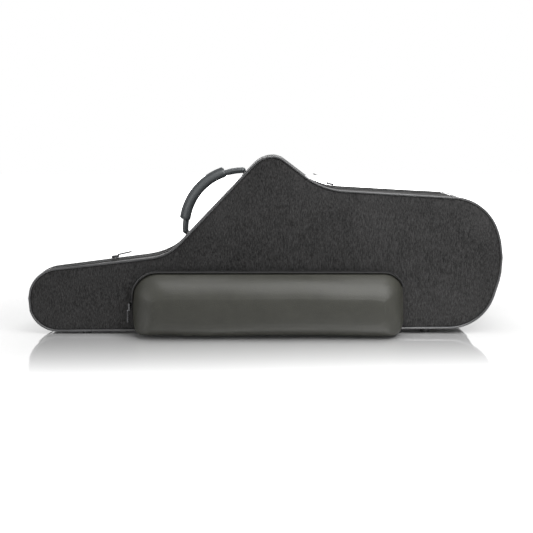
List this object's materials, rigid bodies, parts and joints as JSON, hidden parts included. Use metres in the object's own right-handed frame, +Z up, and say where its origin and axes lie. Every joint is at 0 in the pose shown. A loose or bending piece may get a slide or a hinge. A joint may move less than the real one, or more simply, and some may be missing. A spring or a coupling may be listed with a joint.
{
  "type": "tenor saxophone case",
  "caption": "Shaped zip-up case for a tenor saxophone, with a hinged lid, a padded leather front pocket and a curved carrying handle on the hump.",
  "frame": {"origin": "centre of the bounding box in X and Y, on the floor under the feet", "axes": "+X toward the bell end, -Y toward the viewer of the lid's face, +Z up"},
  "size_m": [0.8425, 0.2618, 0.3162],
  "materials": {
    "coil": "dark coil",
    "foam": "foam under plush",
    "handle_leather": "smooth, glossy",
    "leather": "grained, semi-gloss",
    "metal": "polished",
    "nylon": "woven, matte",
    "piping": "satin cord",
    "plush": "short pile",
    "rubber": "matte",
    "tape": "herringbone tape"
  },
  "bodies": {
    "base": {"accessory_box": "plush", "base_foot_bell": "rubber", "base_foot_middle": "rubber", "base_hinge_tape": "tape", "base_lining": "plush", "base_shell": "nylon", "base_zip_coil": "coil", "base_zip_tape": "tape", "bell_cradle": "foam", "bow_cradle": "foam", "handle_anchor_lower": "handle_leather", "handle_anchor_upper": "handle_leather", "handle_rivet_lower_front": "metal", "handle_rivet_lower_rear": "metal", "handle_rivet_upper_front": "metal", "handle_rivet_upper_rear": "metal", "hold_down_strap": "tape", "neck_end_cradle": "foam", "rear_piping": "piping", "stack_cradle": "foam", "strap_lug_lower": "leather", "strap_lug_upper": "leather", "zip_end_tab_bell": "leather", "zip_end_tab_neck": "leather"},
    "lid": {"lid_shell": "nylon", "lid_lining": "plush", "front_piping": "piping", "lid_zip_tape": "tape", "lid_zip_coil": "coil", "lid_hinge_tape": "tape", "lid_foot_neck": "rubber", "lid_foot_bell": "rubber", "lid_pad_stack": "foam", "lid_pad_bell": "foam", "pocket_gusset": "leather", "pocket_back": "plush", "pocket_zip_tape_rear": "tape", "pocket_zip_coil_rear": "coil", "pocket_hinge_strip": "leather"},
    "pocket_cover": {"pocket_front": "leather", "pocket_zip_tape_front": "tape", "pocket_zip_coil_front": "coil"},
    "handle": {"handle_core": "handle_leather", "handle_sleeve": "handle_leather"},
    "bell_slider": {"main_slider_bell": "metal"},
    "bell_pull": {"main_pull_bell": "metal"},
    "neck_slider": {"main_slider_neck": "metal"},
    "neck_pull": {"main_pull_neck": "metal"},
    "pocket_slider": {"pocket_slider": "metal"},
    "pocket_pull": {"pocket_pull": "metal"},
    "box_lid": {"accessory_lid": "plush"},
    "upper_ring": {"strap_ring_upper": "metal"},
    "lower_ring": {"strap_ring_lower": "metal"}
  },
  "joints": [
    {"name": "lid_hinge", "type": "hinge", "parent": "base", "child": "lid", "pos_m": [0, -0.0009, 0.00734], "axis": [0.9915, 0.1298, 0.0077], "range_deg": [0, 110]},
    {"name": "pocket_hinge", "type": "hinge", "parent": "lid", "child": "pocket_cover", "pos_m": [0.0045, -0.0889, 0.0142], "axis": [1, 0, 0], "range_deg": [0, 60]},
    {"name": "handle_tilt", "type": "hinge", "parent": "base", "child": "handle", "pos_m": [-0.15463, 0.0421, 0.16806], "axis": [0.6854, 0, 0.7282], "range_deg": [-60, 60]},
    {"name": "bell_slider_travel", "type": "hinge", "parent": "base", "child": "bell_slider", "pos_m": [0.14722, 0.01838, 0.37953], "axis": [-0.1298, 0.9915, 0], "range_deg": [-3, 14]},
    {"name": "bell_pull_swing", "type": "hinge", "parent": "bell_slider", "child": "bell_pull", "pos_m": [0.11806, 0.01432, 0.26382], "axis": [-0.1243, 0.9919, 0.0264], "range_deg": [0, 140]},
    {"name": "neck_slider_travel", "type": "slide", "parent": "base", "child": "neck_slider", "axis": [0.9854, 0.129, 0.1109], "range_m": [-0.079, 0.048]},
    {"name": "neck_pull_swing", "type": "hinge", "parent": "neck_slider", "child": "neck_pull", "pos_m": [-0.26955, -0.03607, 0.13374], "axis": [0.1282, -0.9916, 0.0144], "range_deg": [0, 150]},
    {"name": "pocket_slider_travel", "type": "slide", "parent": "lid", "child": "pocket_slider", "axis": [0, 0, 1], "range_m": [-0.01, 0.01]},
    {"name": "pocket_pull_swing", "type": "hinge", "parent": "pocket_slider", "child": "pocket_pull", "pos_m": [-0.2414, -0.0889, 0.046], "axis": [0, 1, 0], "range_deg": [0, 140]},
    {"name": "box_lid_hinge", "type": "hinge", "parent": "base", "child": "box_lid", "pos_m": [-0.056, 0.0098, 0.116], "axis": [1, 0, 0], "range_deg": [0, 90]},
    {"name": "upper_ring_swing", "type": "hinge", "parent": "base", "child": "upper_ring", "pos_m": [0.02, 0.12765, 0.262], "axis": [1, 0, 0], "range_deg": [0, 150]},
    {"name": "lower_ring_swing", "type": "hinge", "parent": "base", "child": "lower_ring", "pos_m": [0.318, 0.12765, 0.196], "axis": [1, 0, 0], "range_deg": [0, 150]}
  ]
}
